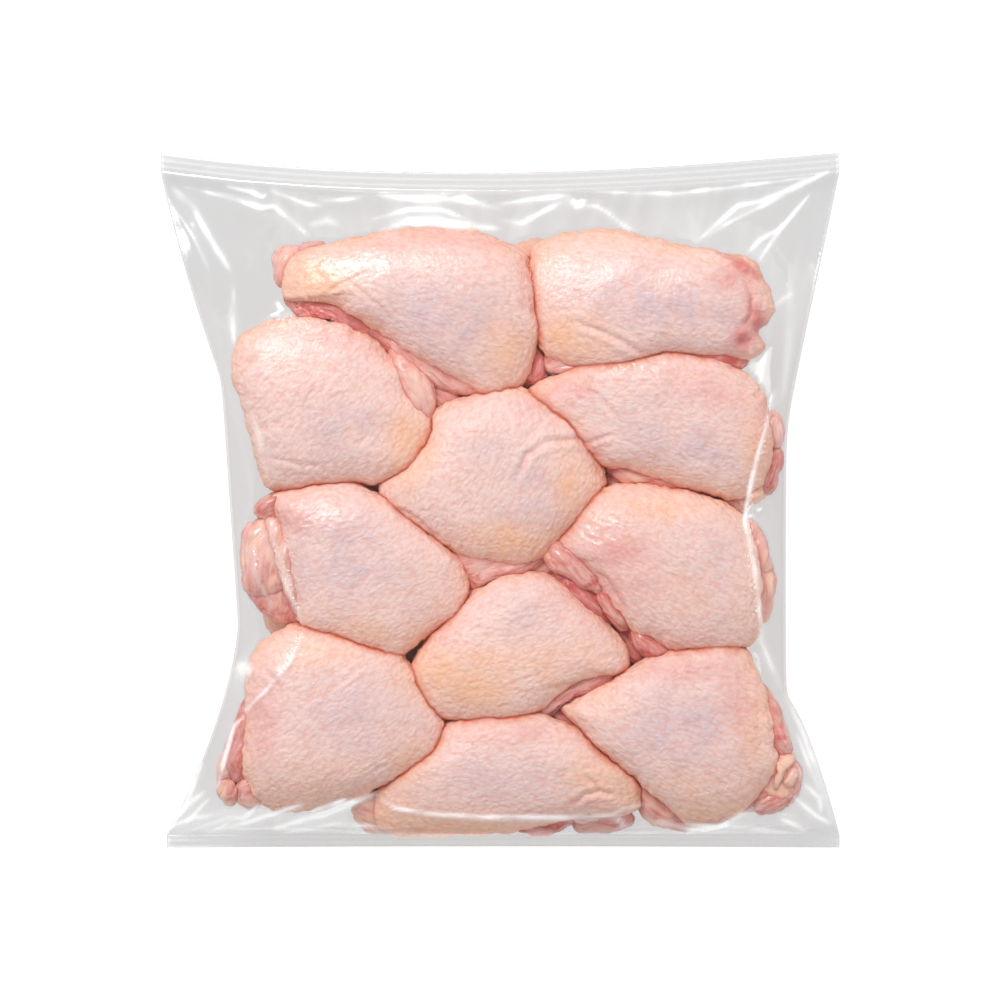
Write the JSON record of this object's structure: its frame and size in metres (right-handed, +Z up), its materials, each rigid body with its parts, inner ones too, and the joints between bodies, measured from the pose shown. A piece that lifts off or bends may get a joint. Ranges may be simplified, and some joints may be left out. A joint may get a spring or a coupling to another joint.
{
  "type": "bag of raw chicken thighs",
  "caption": "Clear heat-sealed pillow bag, lying flat, packed with raw chicken thighs with back, skin side out, in two layers.",
  "frame": {"origin": "on the surface that the bag lies on, under the middle of the bag's outer box", "axes": "+Z up, out of the bag's front side; +Y towards the bag's top seal; +X to the right seen from the front"},
  "size_m": [0.3751, 0.384, 0.084],
  "materials": {
    "skin": "moist raw chicken skin, pale pink to cream, with fine follicle bumps, seen through clear film",
    "meat": "moist raw meat, pink to red, at the cut ends and edges",
    "film": "clear glossy plastic film with tension creases and sealed ends"
  },
  "bodies": {
    "root": {"bag": "skin"}
  },
  "joints": []
}
